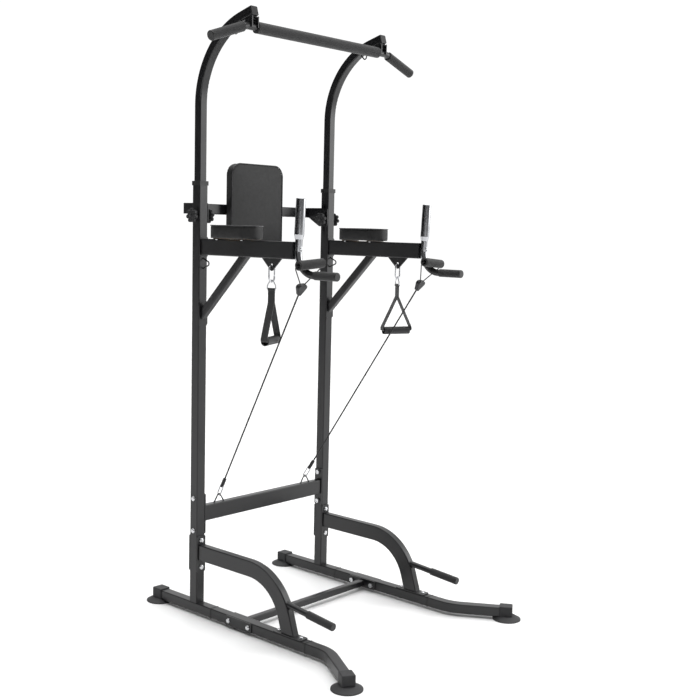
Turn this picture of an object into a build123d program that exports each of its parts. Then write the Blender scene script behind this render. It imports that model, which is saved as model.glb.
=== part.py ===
"""Power tower: a free-standing gym frame for pull-ups, dips, knee raises and push-ups.

Frame: origin on the floor, at the middle of the footprint. +X to the user's right when the user faces the
back pad, -Y towards the front feet, +Z up. Millimetres.
Every side piece is built on the +X side and mirrored for the -X side, with Y measured from the uprights'
centre lines, and moved to the origin when it is written.
"""

import os
from math import cos, radians, sin, tan

from build123d import *

# ---- driving dimensions -------------------------------------------------------------------------------
upright_spacing = 690.0  # centre to centre
half_span = upright_spacing / 2

rail_side = 38.0  # base rails, square tube
rail_wall = 2.0
rail_bottom = 11.0  # rubber under the rails
rail_rear_end = 235.0  # Y of the rear end
rear_joint = -100.0  # Y of the rear tube joint
front_joint = -592.0  # Y of the front tube joint
splay_angle = 32.0  # front legs turn outward
splay_radius = 150.0
front_foot = (460.0, -878.0)  # centre of a front foot flange
tube_corner = 4.0

lower_side = 40.0  # lower uprights
lower_wall = 1.8
lower_bottom = 160.0
lower_top = 1632.0
upper_side = 33.0  # upper uprights
upper_wall = 1.8
upper_bottom = 1245.0
top_bend_start = 1915.0
top_bend_radius = 300.0
top_bend_angle = 74.0
top_straight = 60.0

beam_height = 60.0  # crossbar, braces and dip arms share one rectangular tube
beam_depth = 30.0
beam_wall = 2.0

crossbar_level = 390.5
crossbar_bolt_rise = 62.0
brace_level = 247.0
brace_plate_level = 240.0
brace_bolt_rise = 52.0
brace_straight_end = -301.0
brace_radius = 190.0
brace_angle = 72.0
floor_tube_side = 25.0
floor_tube_y = -257.0
floor_bolt_reach = 52.0
brace_foot_bolt_reach = 54.0

pushup_tube = 22.0
pushup_root = (half_span, -470.0, 160.0)
pushup_end = (half_span + 8, -713.0, 136.0)
pushup_grip_start = 125.0  # length of tube left bare, from the root
pushup_grip_diameter = pushup_tube + 2 * 3.0  # foam wall 3

arm_level = 1401.0
arm_front = -505.0
strut_depth = 30.0
strut_width = 25.0
strut_top_y = -243.5
gusset_y = -383.0
gusset_half_length = 49.0
gusset_apex = 1324.0  # before rounding
gusset_hole_level = 1348.0
gusset_hole = 11.0
gusset_thickness = 4.0

elbow_pad_size = (100.0, 228.0, 54.0)
elbow_pad_corner = 48.0
elbow_pad_y = -199.0
elbow_strap_ys = (-130.0, -262.0)
elbow_screw_reach = 32.0
elbow_strap_width = 28.0
elbow_strap_margin = 16.0
board_thickness = 12.0
board_inset = 8.0

handle_tube = 25.4  # pull-up bar and dip handles
handle_wall = 2.0
dip_corner_y = -506.0
dip_level = 1320.0
dip_lean = 2.8
dip_top = 1574.0
dip_front = -689.0
dip_bend = 75.0
sleeve_diameter = handle_tube + 2 * 4.3  # sleeve wall 4.3
sleeve_bottom = 1440.0
dip_grip_start = -592.0
dip_grip_diameter = handle_tube + 2 * 2.3  # foam wall 2.3

back_pad_size = (276.0, 44.0, 345.0)
back_pad_corner = 45.0
back_pad_front = 50.0
back_pad_bottom = 1378.0
back_bar_level = 1542.0
back_bar_height = 40.0
back_bar_depth = 25.0
side_plate = 3.0
knob_level = 1515.0
knob_diameter = 54.0
knob_height = 20.0
carriage_drop = 40.0
carriage_rise = 50.0

bar_y = -266.0
bar_level = 2167.0
bar_corner_x = 373.0
bar_end = (530.0, 2111.0)
bar_bend = 60.0
foam_half_length = 325.0
foam_diameter = handle_tube + 2 * 7.8  # foam wall 7.8
end_grip_start = 390.0
end_grip_diameter = handle_tube + 2 * 4.8  # foam wall 4.8

loop_wire = 5.0
bar_loop_x = 238.0
loop_half_width = 26.0
loop_height = 37.0
loop_corner = 8.0

cord_diameter = 6.0
hook_wire = 4.5
hook_length = 50.0
hook_radius = 8.0
cord_sleeve_diameter = 14.0
cord_sleeve_span = (43.0, 84.0)  # along the cord, from the hook's lower bend
cord_grip_diameter = 33.0
cord_grip_length = 115.0
cord_grip_offset = -8.0  # the cord draws the grip a little inward on the dip handle
cord_grip_bore = 20.0
cover_drop = 100.0  # grip axis to cover centre
cover_width = 42.0
cover_thickness = 18.0
strand_diameter = 4.0

carabiner_wire = 6.0
carabiner_radius = 13.0
carabiner_length = 56.0  # between the wire's centres
gate_low = 4.0  # height of the gate's pin above the lower bend's centre
gate_length = 22.0
gate_pin = 1.8
gate_tongue = 2.4
gate_bar = 5.1
gate_eye = 4.4
strap_ring_wire = 4.4
strap_ring_height = 32.0
strap_width = 25.0
strap_thickness = 2.4
strap_neck = 42.0
strap_seam = 30.0
strap_drop = 184.0
strap_half_width = 62.0
strap_turn = 24.0  # the stirrup hangs turned, clear of the elastic cord
strap_tube_diameter = 30.0
strap_tube_bore = 26.4
strap_tube_length = 112.0

# ---- fits ---------------------------------------------------------------------------------------------
insert_gap = 0.3  # an insert tube in its outer tube, each side
slide_gap = 0.2  # upper upright in its bush, each side
bush_gap = 0.1  # bush in the lower upright, each side
bolt_gap = 0.3  # bolt in its hole, radius
free_gap = 0.5  # moving faces that never bear
pin_gap = 0.05  # hinge pin, radius
tip_gap = 0.3  # clamp screw to the tube it locks

# ---- fasteners ----------------------------------------------------------------------------------------
big_bolt = 10.0
small_bolt = 8.0
bar_bolt = 6.0
screw = 5.0
plate = 4.0
backing_plate = 3.0
ring_width = 3.0
weld_ring = 4.0
cap_height = 4.0

# ---- worked out from the above ------------------------------------------------------------------------
rail_level = rail_bottom + rail_side / 2
rail_top = rail_bottom + rail_side
lower_inner = lower_side - 2 * lower_wall
upright_face = lower_side / 2
beam_face = beam_depth / 2
handle_radius = handle_tube / 2
arm_bottom = arm_level - beam_height / 2
arm_top = arm_level + beam_height / 2
crossbar_top = crossbar_level + beam_height / 2


def both(shape):
    """The piece and its mirror image, as separate solids."""
    return [*shape.solids(), *mirror(shape, about=Plane.YZ).solids()]


def group(shapes):
    """Separate solids kept together as one node."""
    return Compound([solid for shape in shapes for solid in shape.solids()])


def box_between(low, high):
    """Box from its lowest to its highest corner."""
    size = [b - a for a, b in zip(low, high)]
    middle = [(a + b) / 2 for a, b in zip(low, high)]
    return Pos(*middle) * Box(*size)


def square_tube(path, width, height, wall, across):
    """Rectangular tube along a path; width lies along the direction across."""
    start = Plane(origin=path @ 0, x_dir=across, z_dir=path % 0)
    outer = RectangleRounded(width, height, tube_corner)
    inner = RectangleRounded(width - 2 * wall, height - 2 * wall, max(tube_corner - wall, 0.5))
    return sweep(start * outer, path=path) - sweep(start * inner, path=path)


def round_rod(path, diameter):
    """Solid round section along a path."""
    return sweep(Plane(origin=path @ 0, z_dir=path % 0) * Circle(diameter / 2), path=path)


def round_tube(path, diameter, wall):
    """Round tube along a path."""
    return round_rod(path, diameter) - round_rod(path, diameter - 2 * wall)


def cylinder_between(start, end, diameter):
    """Cylinder from one point to another."""
    return round_rod(Line(start, end), diameter)


def along(start, direction, distance):
    """Point at a distance from start along a direction."""
    return Vector(*start) + Vector(*direction).normalized() * distance


def dome_bolt(seat, direction, grip, size):
    """Dome-headed bolt: the head sits at seat, the shank runs along direction through grip into a nut."""
    place = Plane(origin=seat, z_dir=direction)
    head_radius = size * 0.95
    head_height = size * 0.55
    head = Cylinder(head_radius, head_height, align=(Align.CENTER, Align.CENTER, Align.MAX))
    head = fillet(head.edges().group_by(Axis.Z)[0], head_height * 0.8)
    shank = Cylinder(size / 2, grip + size * 0.7, align=(Align.CENTER, Align.CENTER, Align.MIN))
    bolt = head + shank
    nut_height = size * 0.8
    nut = extrude(RegularPolygon(size * 0.85, 6, major_radius=False), nut_height)
    nut = Pos(0, 0, grip) * (nut - Cylinder(size / 2, 3 * nut_height))
    return [place * bolt, place * nut]


def drilled(shape, holes):
    """Shape with clearance holes: each hole is seat, direction, grip and bolt size."""
    for seat, direction, grip, size in holes:
        start = along(seat, direction, -1)
        end = along(seat, direction, grip + 1)
        shape = shape - cylinder_between(start, end, size + 2 * bolt_gap)
    return shape


# ---- bolt positions on the +X side --------------------------------------------------------------------
x_in = (-1, 0, 0)
y_front = (0, -1, 0)
y_back = (0, 1, 0)
z_down = (0, 0, -1)
crossbar_holes = [
    ((half_span + upright_face, 0, crossbar_level + rise), x_in, lower_side + plate, big_bolt)
    for rise in (-crossbar_bolt_rise, crossbar_bolt_rise)
]
brace_holes = [
    ((half_span, -upright_face - plate, brace_plate_level + rise), y_back, lower_side + 2 * plate, big_bolt)
    for rise in (-brace_bolt_rise, brace_bolt_rise)
]
floor_holes = [
    (
        (half_span + rail_side / 2 + backing_plate, floor_tube_y + reach, rail_level),
        x_in,
        rail_side + backing_plate + plate,
        big_bolt,
    )
    for reach in (-floor_bolt_reach, floor_bolt_reach)
]
brace_foot_y = (
    brace_straight_end - brace_radius * sin(radians(brace_angle))
    - (brace_level - brace_radius * (1 - cos(radians(brace_angle))) - rail_top) / tan(radians(brace_angle))
)
brace_foot_holes = [
    ((half_span, brace_foot_y + reach, rail_top + plate), z_down, rail_side + plate, small_bolt)
    for reach in (-brace_foot_bolt_reach, brace_foot_bolt_reach)
]
static_holes = crossbar_holes + brace_holes + floor_holes + brace_foot_holes


# ---- base ---------------------------------------------------------------------------------------------
def rail_path(start, end):
    """Straight line along a rail."""
    return Line((half_span, start, rail_level), (half_span, end, rail_level))


def rail_insert(start, end):
    """Smaller tube that joins two rail tubes from inside, with the ring that welds it to its own tube."""
    outer = rail_side - 2 * rail_wall - 2 * insert_gap
    tube = square_tube(rail_path(start, end), outer, outer, rail_wall, (1, 0, 0))
    toward = 1 if end < start else -1
    ring = square_tube(
        rail_path(start + toward * weld_ring, start),
        rail_side,
        rail_side,
        2 * rail_wall + insert_gap,
        (1, 0, 0),
    )
    return tube + ring


def base_rear():
    """Rear rail tube with its welded upright stub; inserts run on into the next tube and the upright."""
    rail = square_tube(rail_path(rail_rear_end, rear_joint), rail_side, rail_side, rail_wall, (1, 0, 0))
    insert = rail_insert(rear_joint, rear_joint - 85)
    spigot_side = lower_inner - 2 * insert_gap
    stub_wall = (lower_side - spigot_side) / 2
    stub_line = Line((half_span, 0, rail_top), (half_span, 0, lower_bottom))
    stub = square_tube(stub_line, lower_side, lower_side, stub_wall, (1, 0, 0))
    spigot_line = Line((half_span, 0, rail_top), (half_span, 0, brace_plate_level + brace_bolt_rise + 22))
    spigot = square_tube(spigot_line, spigot_side, spigot_side, rail_wall, (1, 0, 0))
    return drilled(rail + insert + stub + spigot, brace_holes)


def base_mid():
    """Middle rail tube, bolted to the floor tube and to the foot of the brace."""
    path = rail_path(rear_joint - ring_width, front_joint)
    tube = square_tube(path, rail_side, rail_side, rail_wall, (1, 0, 0))
    return drilled(tube, floor_holes + brace_foot_holes)


boot_back = 28.0  # boot opening behind the flange centre
boot_tube = 17.0  # tube end ahead of the flange centre
boot_wall = 5.0
flange_radius = 54.0
splay_out = (sin(radians(splay_angle)), -cos(radians(splay_angle)))
leg_end = (front_foot[0] + boot_tube * splay_out[0], front_foot[1] + boot_tube * splay_out[1])
splay_corner_y = leg_end[1] + (leg_end[0] - half_span) / tan(radians(splay_angle))


def base_front():
    """Front leg: leaves the joint straight, then bends outward to the front foot."""
    start = front_joint - ring_width
    path = FilletPolyline(
        (half_span, start, rail_level),
        (half_span, splay_corner_y, rail_level),
        (*leg_end, rail_level),
        radius=splay_radius,
    )
    tube = square_tube(path, rail_side, rail_side, rail_wall, (1, 0, 0))
    insert = rail_insert(start, front_joint + 82)
    return drilled(tube + insert, brace_foot_holes)


def joint_ring(y):
    """Plastic ring squeezed between two rail tubes."""
    outer = rail_side + 2
    wall = rail_wall + insert_gap + 1
    return square_tube(rail_path(y, y - ring_width), outer, outer, wall, (1, 0, 0))


def boot():
    """Rubber boot at its own origin: flange on the floor, tube entering along +Y."""
    rim = 4.0
    crown = 16.0
    profile = Polyline((0, 0), (flange_radius, 0), (flange_radius, rim), (32, crown), (0, crown), close=True)
    flange = revolve(Plane.XZ * make_face(profile), Axis.Z)
    low = (-rail_side / 2 - boot_wall, -boot_back, rim)
    high = (rail_side / 2 + boot_wall, boot_tube + boot_wall, rail_top + boot_wall)
    block = box_between(low, high)
    block = fillet(block.edges().filter_by(Axis.Z), boot_wall)
    block = fillet(block.edges().group_by(Axis.Z)[-1], boot_wall * 0.8)
    tunnel = box_between(
        (-rail_side / 2, -flange_radius - 5, rail_bottom), (rail_side / 2, boot_tube, rail_top)
    )
    throat = box_between(
        (-rail_side / 2 - 1, -flange_radius - 5, rail_bottom - 1), (rail_side / 2 + 1, -boot_back, rail_top)
    )
    return flange + block - tunnel - throat


def rubber_feet():
    """Rear and front boots of one side."""
    rear = Pos(half_span, rail_rear_end - boot_tube, 0) * boot()
    front = Pos(*front_foot, 0) * Rot(0, 0, 180 + splay_angle) * boot()
    return [rear, front]


end_plate_height = 36.0
end_plate_length = 2 * floor_bolt_reach + 36


def floor_cross_tube():
    """Square tube between the rails, welded to an end plate on each."""
    face = half_span - rail_side / 2
    path = Line((-face + plate, floor_tube_y, rail_level), (face - plate, floor_tube_y, rail_level))
    tube = square_tube(path, floor_tube_side, floor_tube_side, rail_wall, (0, 1, 0))
    end = Pos(face - plate / 2, floor_tube_y, rail_level) * Box(plate, end_plate_length, end_plate_height)
    end = drilled(fillet(end.edges().filter_by(Axis.X), 6), floor_holes)
    return tube + end + mirror(end, about=Plane.YZ)


def backing_plates():
    """Plates under the bolt heads: outside the rail at the floor tube, behind the upright at the brace."""
    rail_x = half_span + rail_side / 2 + backing_plate / 2
    rail_plate = Box(backing_plate, end_plate_length, end_plate_height)
    rail_plate = Pos(rail_x, floor_tube_y, rail_level) * rail_plate
    rail_plate = fillet(rail_plate.edges().filter_by(Axis.X), 6)
    height = 2 * brace_bolt_rise + 36
    upright_plate = Box(lower_side, plate, height)
    upright_plate = Pos(half_span, upright_face + plate / 2, brace_plate_level) * upright_plate
    upright_plate = fillet(upright_plate.edges().filter_by(Axis.Y), 6)
    return [drilled(rail_plate, floor_holes), drilled(upright_plate, brace_holes)]


def brace():
    """Curved brace from the upright down to the rail, with the push-up handle tube welded to its front."""
    start_y = -upright_face - plate
    drop = brace_level - rail_top - plate
    corner_y = brace_foot_y + drop / tan(radians(brace_angle)) + plate / tan(radians(brace_angle))
    foot_y = brace_foot_y + plate / tan(radians(brace_angle))
    overrun = 20.0  # past the foot plate, then cut off level
    slope = 1 / tan(radians(brace_angle))
    path = FilletPolyline(
        (half_span, start_y, brace_level),
        (half_span, corner_y, brace_level),
        (half_span, foot_y - overrun * slope, rail_top + plate - overrun),
        radius=brace_radius,
    )
    below = box_between((0, -2000, -500), (1000, 0, rail_top + plate))
    tube = square_tube(path, beam_depth, beam_height, beam_wall, (1, 0, 0)) - below
    top_plate = Pos(half_span, -upright_face - plate / 2, brace_plate_level) * Box(
        lower_side, plate, 2 * brace_bolt_rise + 36
    )
    top_plate = drilled(fillet(top_plate.edges().filter_by(Axis.Y), 6), brace_holes)
    foot_plate = Pos(half_span, brace_foot_y, rail_top + plate / 2) * Box(
        rail_side, 2 * brace_foot_bolt_reach + 34, plate
    )
    foot_plate = drilled(fillet(foot_plate.edges().filter_by(Axis.Z), 6), brace_foot_holes)
    handle = round_tube(Line(pushup_root, pushup_end), pushup_tube, rail_wall)
    start = Plane(origin=path @ 0, x_dir=(1, 0, 0), z_dir=path % 0)
    core = sweep(start * Rectangle(beam_depth - 2 * beam_wall, beam_height - 2 * beam_wall), path=path)
    return tube + top_plate + foot_plate + (handle - core)


def pushup_axis():
    """Unit direction of a push-up handle."""
    return (Vector(*pushup_end) - Vector(*pushup_root)).normalized()


def pushup_grip():
    """Foam sleeve on a push-up handle."""
    start = along(pushup_root, pushup_axis(), pushup_grip_start)
    return cylinder_between(start, pushup_end, pushup_grip_diameter) - cylinder_between(
        pushup_root, along(pushup_end, pushup_axis(), 5), pushup_tube
    )


def tube_cap(end, direction, diameter, bore):
    """Plastic cap: a disc over the tube's end and a plug inside it."""
    place = Plane(origin=end, z_dir=direction)
    disc = Cylinder(diameter / 2, cap_height, align=(Align.CENTER, Align.CENTER, Align.MIN))
    disc = fillet(disc.edges().group_by(Axis.Z)[-1], cap_height * 0.7)
    plug = Cylinder(bore / 2 - bush_gap, 14, align=(Align.CENTER, Align.CENTER, Align.MAX))
    return place * (disc + plug)


# ---- uprights -----------------------------------------------------------------------------------------
def wire_loop(plane, half_width, height):
    """Triangular wire loop standing on a face: base points and a rounded apex in the given plane."""
    sunk = loop_wire / 2
    path = FilletPolyline(
        (-half_width, -sunk), (0, height), (half_width, -sunk), radius=loop_corner
    )
    return round_rod(plane * path, loop_wire)


knob_boss = 5.0  # weld boss under a knob
clamp_screw = 8.0
upper_face = upper_side / 2


def lower_upright():
    """Lower upright: knob boss outside, slot for the backrest screw inside, wire loop in front."""
    path = Line((half_span, 0, lower_bottom), (half_span, 0, lower_top))
    tube = square_tube(path, lower_side, lower_side, lower_wall, (1, 0, 0))
    boss = cylinder_between(
        (half_span + upright_face, 0, knob_level), (half_span + upright_face + knob_boss, 0, knob_level), 18
    )
    boss_hole = cylinder_between(
        (half_span + upper_face, 0, knob_level),
        (half_span + lower_side, 0, knob_level),
        clamp_screw + 2 * pin_gap,
    )
    slot = box_between(
        (half_span - upright_face - 1, -clamp_screw / 2 - free_gap, knob_level - carriage_drop - clamp_screw),
        (half_span - upper_face, clamp_screw / 2 + free_gap, knob_level + carriage_rise + clamp_screw),
    )
    loop_plane = Plane(origin=(half_span, -upright_face, dip_level + 20), x_dir=(0, 0, 1), z_dir=(1, 0, 0))
    loop = wire_loop(loop_plane, 20, loop_height + 8)
    return drilled(tube + boss - boss_hole - slot + loop, crossbar_holes + brace_holes)


collar_wall = 2.0
collar_height = 16.0
collar_rise = 9.0


def upright_collar():
    """Plastic collar over the lower upright's top, with the bush that guides the upper upright."""
    outer_side = lower_side + 2 * collar_wall
    top = lower_top + collar_rise
    low = (half_span - outer_side / 2, -outer_side / 2, top - collar_height)
    high = (half_span + outer_side / 2, outer_side / 2, top)
    cap = box_between(low, high)
    cap = fillet(cap.edges().filter_by(Axis.Z) + cap.edges().group_by(Axis.Z)[-1], 1.8)
    socket = box_between(
        (half_span - upright_face, -upright_face, lower_top - collar_height),
        (half_span + upright_face, upright_face, lower_top),
    )
    bush_side = lower_inner / 2 - bush_gap
    bush = box_between(
        (half_span - bush_side, -bush_side, lower_top - 60), (half_span + bush_side, bush_side, lower_top)
    )
    bush = fillet(bush.edges().filter_by(Axis.Z), tube_corner - lower_wall + bush_gap)
    way = upper_face + slide_gap
    bore = box_between((half_span - way, -way, lower_top - 70), (half_span + way, way, top + 1))
    return cap - socket + bush - bore


def upper_path():
    """Centre line of an upper upright: up the post, then forward round the top bend."""
    reach = top_bend_radius * tan(radians(top_bend_angle / 2))
    corner = (half_span, 0, top_bend_start + reach)
    end = (
        half_span,
        -(reach + top_straight) * sin(radians(top_bend_angle)),
        corner[2] + (reach + top_straight) * cos(radians(top_bend_angle)),
    )
    return FilletPolyline((half_span, 0, upper_bottom), corner, end, radius=top_bend_radius)


top_direction = (0, -sin(radians(top_bend_angle)), cos(radians(top_bend_angle)))
top_normal = (0, cos(radians(top_bend_angle)), sin(radians(top_bend_angle)))
top_end = upper_path() @ 1
bracket_thickness = 4.0
bracket_length = 54.0
bracket_centre = along(top_end, top_direction, -32)
bar_bolts = [
    (
        along(along(bracket_centre, top_direction, reach), top_normal, upper_face),
        tuple(-c for c in top_normal),
        upper_side + bracket_thickness,
        bar_bolt,
    )
    for reach in (-16, 16)
]


def upper_upright():
    """Telescoping upright with the top bend and its wire loop."""
    tube = square_tube(upper_path(), upper_side, upper_side, upper_wall, (1, 0, 0))
    root = along(along(top_end, top_direction, -104), top_normal, -upper_face)
    loop_plane = Plane(origin=root, x_dir=top_direction, z_dir=(1, 0, 0))
    loop = wire_loop(loop_plane, 20, 34)
    return drilled(tube, bar_bolts) + loop


def upper_end_cap():
    """Plastic plug in the upper upright's open end."""
    place = Plane(origin=top_end, x_dir=(1, 0, 0), z_dir=top_direction)
    face = extrude(RectangleRounded(upper_side, upper_side, tube_corner), cap_height)
    face = fillet(face.edges().group_by(Axis.Z)[-1], cap_height * 0.6)
    inner = upper_side - 2 * upper_wall - 2 * bush_gap
    plug = extrude(RectangleRounded(inner, inner, 2), -9)
    return place * (face + plug)


def lower_crossbar():
    """Crossbar between the lower uprights, with bolted end plates and two wire loops for the cords."""
    face = half_span - upright_face
    path = Line((-face + plate, 0, crossbar_level), (face - plate, 0, crossbar_level))
    tube = square_tube(path, beam_depth, beam_height, beam_wall, (0, 1, 0))
    end = Pos(face - plate / 2, 0, crossbar_level) * Box(plate, lower_side, 2 * crossbar_bolt_rise + 30)
    end = drilled(fillet(end.edges().filter_by(Axis.X), 6), crossbar_holes)
    loop_plane = Plane(origin=(bar_loop_x, 0, crossbar_top), x_dir=(1, 0, 0), z_dir=(0, -1, 0))
    loop = wire_loop(loop_plane, loop_half_width, loop_height)
    half = end + loop
    return tube + half + mirror(half, about=Plane.YZ)


# ---- dip arms -----------------------------------------------------------------------------------------
lean_slope = tan(radians(dip_lean))
lean_up = (0, -sin(radians(dip_lean)), cos(radians(dip_lean)))
lean_back = (0, cos(radians(dip_lean)), sin(radians(dip_lean)))
dip_bolt_level = arm_level + 8
dip_axis_at_arm = (half_span, dip_corner_y - (dip_bolt_level - dip_level) * lean_slope, dip_bolt_level)
arm_end_plate = 3.0
dip_bolt_grip = handle_tube + arm_end_plate
dip_bolt = (along(dip_axis_at_arm, lean_back, -handle_radius), lean_back, dip_bolt_grip, small_bolt)


def arm_tube():
    """Arm tube, cut square to the dip handle and closed with a plate that the handle bears on."""
    path = Line((half_span, -upright_face - plate, arm_level), (half_span, arm_front, arm_level))
    tube = square_tube(path, beam_depth, beam_height, beam_wall, (1, 0, 0))
    seat = along(dip_axis_at_arm, lean_back, handle_radius)
    front = Plane(origin=seat, x_dir=(1, 0, 0), z_dir=tuple(-c for c in lean_back))
    beyond = front * Pos(0, 0, 50 - arm_end_plate) * Box(200, 200, 100)
    closing = front * Pos(0, arm_level - dip_bolt_level, -arm_end_plate / 2) * Box(
        beam_depth - beam_wall, beam_height - beam_wall, arm_end_plate
    )
    return drilled(tube - beyond + closing, [dip_bolt])


def dip_arm():
    """Welded dip arm: mounting plate, arm, diagonal strut, gusset and the straps that carry the pad."""
    back = -upright_face - plate
    mount = Pos(half_span, back + plate / 2, arm_level) * Box(lower_side, plate, beam_height + 16)
    mount = fillet(mount.edges().filter_by(Axis.Y), 10)
    strut_foot = arm_bottom - (back - strut_top_y)
    strut_line = Line(
        (half_span, strut_top_y - 60, arm_bottom + 60), (half_span, back + 60, strut_foot - 60)
    )
    strut = square_tube(strut_line, strut_width, strut_depth, 1.5, (1, 0, 0))
    weld_depth = 1.0  # the strut's ends run a little into the walls they are welded to
    strut = strut & box_between((0, strut_top_y - 100, 0), (1000, back + weld_depth, arm_bottom + weld_depth))
    foot = Pos(half_span, back + plate / 2, strut_foot) * Box(lower_side, plate, 84)
    foot = fillet(foot.edges().filter_by(Axis.Y), 8)
    outline = Polygon(
        (gusset_y - gusset_half_length, arm_bottom),
        (gusset_y, gusset_apex),
        (gusset_y + gusset_half_length, arm_bottom),
        align=None,
    )
    outline = fillet(outline.vertices().sort_by(Axis.Y)[0], 9)
    outline = outline - Pos(gusset_y, gusset_hole_level) * Circle(gusset_hole / 2)
    side_on = Plane(origin=(half_span, 0, 0), x_dir=(0, 1, 0), z_dir=(1, 0, 0))
    gusset = side_on * extrude(outline, gusset_thickness / 2, both=True)
    arm = arm_tube() + mount + strut + foot + gusset
    for y in elbow_strap_ys:
        strap = Box(2 * elbow_screw_reach + elbow_strap_margin, elbow_strap_width, backing_plate)
        strap = Pos(half_span, y, arm_top + backing_plate / 2) * strap
        arm = arm + fillet(strap.edges().filter_by(Axis.Z), 6)
    return drilled(arm, elbow_screws())


pad_bottom = arm_top + backing_plate


def elbow_screws():
    """Screw positions under one elbow pad: seat, direction, grip and size."""
    return [
        ((half_span + reach, y, arm_top), (0, 0, 1), backing_plate, screw)
        for reach in (-elbow_screw_reach, elbow_screw_reach)
        for y in elbow_strap_ys
    ]


def pan_screw(seat, direction, grip):
    """Dome-headed wood screw."""
    place = Plane(origin=seat, z_dir=direction)
    head = Cylinder(screw, 3.2, align=(Align.CENTER, Align.CENTER, Align.MAX))
    head = fillet(head.edges().group_by(Axis.Z)[0], 2.4)
    shank = Cylinder(screw / 2, grip + 8, align=(Align.CENTER, Align.CENTER, Align.MIN))
    return place * (head + shank)


def elbow_board():
    """Board inside the underside of an elbow pad."""
    width, length, _ = elbow_pad_size
    board = Pos(half_span, elbow_pad_y, pad_bottom + board_thickness / 2) * Box(
        width - 2 * board_inset, length - 2 * board_inset, board_thickness
    )
    board = fillet(board.edges().filter_by(Axis.Z), elbow_pad_corner - board_inset)
    for seat, _, _, _ in elbow_screws():
        board = board - Pos(seat[0], seat[1], pad_bottom) * Cylinder(screw / 2, 16)
    return board


def elbow_pad():
    """Cushion of one elbow pad, closed round its board."""
    width, length, height = elbow_pad_size
    middle = Pos(half_span, elbow_pad_y, pad_bottom)
    cushion = Pos(0, 0, height / 2) * Box(width, length, height)
    cushion = fillet(cushion.edges().filter_by(Axis.Z), elbow_pad_corner)
    cushion = fillet(cushion.edges().group_by(Axis.Z)[-1], 10)
    recess = Pos(0, 0, board_thickness / 2) * Box(
        width - 2 * board_inset, length - 2 * board_inset, board_thickness
    )
    recess = fillet(recess.edges().filter_by(Axis.Z), elbow_pad_corner - board_inset)
    return middle * (cushion - recess)


# ---- dip handles --------------------------------------------------------------------------------------
def dip_point(level):
    """Point on the leaning axis of a dip handle at a height."""
    return (half_span, dip_corner_y - (level - dip_level) * lean_slope, level)


def dip_handle():
    """Bent tube: an upright part bolted to the arm and a level part that the user grips."""
    path = FilletPolyline(
        dip_point(dip_top), dip_point(dip_level), (half_span, dip_front, dip_level), radius=dip_bend
    )
    return drilled(round_tube(path, handle_tube, handle_wall), [dip_bolt])


def dip_upright_sleeve():
    """Smooth grip sleeve with a closed top and a tapered lower end."""
    base = dip_point(sleeve_bottom)
    length = (dip_top - sleeve_bottom) / cos(radians(dip_lean))
    wide = sleeve_diameter / 2
    narrow = handle_radius + 1.3
    profile = Polyline(
        (handle_radius, 0),
        (narrow, 0),
        (wide, 16),
        (wide, length + cap_height),
        (0, length + cap_height),
        (0, length),
        (handle_radius, length),
        close=True,
    )
    body = revolve(Plane.XZ * make_face(profile), Axis.Z)
    body = fillet(body.edges().group_by(Axis.Z)[-1], 2)
    return Plane(origin=base, z_dir=lean_up) * body


def dip_grip():
    """Foam sleeve on the level part of a dip handle."""
    level = (half_span, dip_grip_start, dip_level)
    end = (half_span, dip_front, dip_level)
    return cylinder_between(level, end, dip_grip_diameter) - cylinder_between(level, end, handle_tube)


# ---- backrest -----------------------------------------------------------------------------------------
plate_outer = half_span - upright_face - free_gap
plate_inner = plate_outer - side_plate
back_bar_front = back_pad_front + back_pad_size[1]


def backrest_side():
    """Side plate that runs back from an upright to the crossbar, with the weld nut of its knob."""
    low = back_bar_level - back_bar_height / 2
    high = back_bar_level + back_bar_height / 2
    outline = Polygon(
        (-upright_face, knob_level - 28),
        (upright_face + 6, knob_level - 28),
        (back_bar_front - 8, low),
        (back_bar_front + back_bar_depth, low),
        (back_bar_front + back_bar_depth, high),
        (-upright_face, high),
        align=None,
    )
    outline = fillet(outline.vertices().group_by(Axis.X)[0], 8)
    side_on = Plane(origin=(plate_inner, 0, 0), x_dir=(0, 1, 0), z_dir=(1, 0, 0))
    side = side_on * extrude(outline, side_plate)
    nut = cylinder_between((plate_inner, 0, knob_level), (plate_inner - knob_boss, 0, knob_level), 18)
    hole = cylinder_between(
        (plate_outer + 1, 0, knob_level),
        (plate_inner - knob_boss - 1, 0, knob_level),
        clamp_screw + 2 * pin_gap,
    )
    return side + nut - hole


back_screw_places = [(x, back_bar_level) for x in (-90.0, 90.0)]


def backrest_frame():
    """Crossbar behind the back pad, welded to a side plate at each upright."""
    middle_y = back_bar_front + back_bar_depth / 2
    path = Line((-plate_inner, middle_y, back_bar_level), (plate_inner, middle_y, back_bar_level))
    bar = square_tube(path, back_bar_depth, back_bar_height, beam_wall, (0, 1, 0))
    for x, z in back_screw_places:
        bar = bar - cylinder_between(
            (x, back_bar_front - 1, z), (x, back_bar_front + back_bar_depth + 1, z), screw + 2 * bolt_gap
        )
    side = backrest_side()
    return bar + side + mirror(side, about=Plane.YZ)


def back_board():
    """Board in the back of the back pad."""
    width, _, height = back_pad_size
    board = Pos(0, back_bar_front - board_thickness / 2, back_pad_bottom + height / 2) * Box(
        width - 2 * board_inset, board_thickness, height - 2 * board_inset
    )
    board = fillet(board.edges().filter_by(Axis.Y), back_pad_corner - board_inset)
    for x, z in back_screw_places:
        board = board - cylinder_between((x, back_bar_front - 9, z), (x, back_bar_front + 1, z), screw)
    return board


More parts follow.
